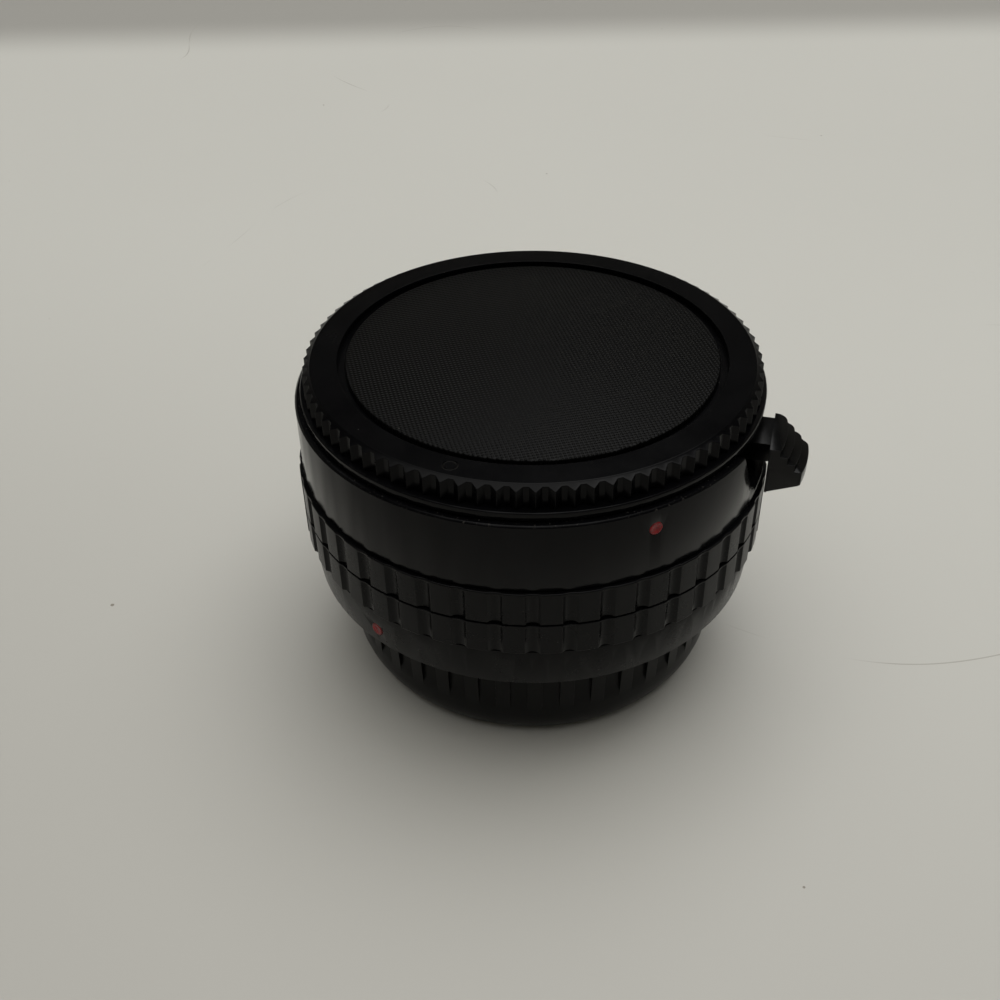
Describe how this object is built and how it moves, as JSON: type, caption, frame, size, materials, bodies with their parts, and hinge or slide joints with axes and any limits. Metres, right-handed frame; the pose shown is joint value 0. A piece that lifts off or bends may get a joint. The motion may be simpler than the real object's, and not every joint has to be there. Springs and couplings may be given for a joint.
{
  "type": "camera teleconverter",
  "caption": "Short cylindrical lens converter with a two-row grip, a stepped release lever, a knurled body cap in its front mount and a ribbed rear lens cap.",
  "frame": {"origin": "centre of the rear cap's flat base, on the optical axis", "axes": "+Z along the optical axis from the rear cap to the body cap; -Y towards the side with the front index dot; +X towards the release lever"},
  "size_m": [0.0698, 0.065, 0.0468],
  "materials": {
    "gloss_black": "gloss black enamel on aluminium",
    "satin_black": "satin black enamel on aluminium",
    "black_anodised": "matt black anodised",
    "chromed_brass": "satin chrome on brass",
    "steel": "plain steel",
    "red_paint": "red filler paint",
    "coated_glass": "coated optical glass",
    "lever_plastic": "moulded black",
    "cap_plastic": "moulded black, fine grain",
    "woven_inlay": "embossed with a fine weave",
    "rear_cap_plastic": "moulded black"
  },
  "bodies": {
    "rear_cap": {"rear_cap": "rear_cap_plastic"},
    "barrel": {"front_barrel": "gloss_black", "grip_ring": "satin_black", "rear_barrel": "satin_black", "chassis": "black_anodised", "front_bayonet": "chromed_brass", "front_bayonet_screws": "steel", "bayonet_springs": "steel", "rear_bayonet": "chromed_brass", "rear_bayonet_screws": "steel", "front_index_dot": "red_paint", "rear_index_dot": "red_paint", "lens_cell": "black_anodised", "cell_screws": "steel", "front_element": "coated_glass", "second_element": "coated_glass", "third_element": "coated_glass", "rear_element": "coated_glass", "front_spacer": "black_anodised", "rear_spacer": "black_anodised", "front_retaining_ring": "black_anodised", "rear_retaining_ring": "black_anodised", "rear_baffle": "black_anodised", "baffle_screws": "steel", "aperture_ring_clip": "steel", "stop_down_clip": "steel", "release_spring": "steel"},
    "aperture_follower": {"aperture_ring": "steel"},
    "stop_down": {"stop_down_ring": "steel"},
    "release": {"release_lever": "lever_plastic", "release_slide": "steel", "lock_pin": "steel", "release_screws": "steel"},
    "front_cap": {"front_cap": "cap_plastic", "front_cap_inlay": "woven_inlay"}
  },
  "joints": [
    {"name": "front_cap_lift", "type": "slide", "parent": "barrel", "child": "front_cap", "axis": [0, 0, 1], "range_m": [0, 0.03]},
    {"name": "converter_lift", "type": "slide", "parent": "rear_cap", "child": "barrel", "axis": [0, 0, 1], "range_m": [0, 0.03]},
    {"name": "release_press", "type": "slide", "parent": "barrel", "child": "release", "axis": [0, 0, -1], "range_m": [0, 0.0018], "stiffness_N_per_m": 120, "springref_m": -0.003, "deforming": ["release_spring"]},
    {"name": "aperture_turn", "type": "hinge", "parent": "barrel", "child": "aperture_follower", "pos_m": [0, 0, 0], "axis": [0, 0, 1], "range_deg": [-24, 24]},
    {"name": "stop_down_turn", "type": "hinge", "parent": "barrel", "child": "stop_down", "pos_m": [0, 0, 0], "axis": [0, 0, 1], "range_deg": [0, 17], "stiffness_Nm_per_rad": 0.03, "springref_deg": -5.73}
  ]
}
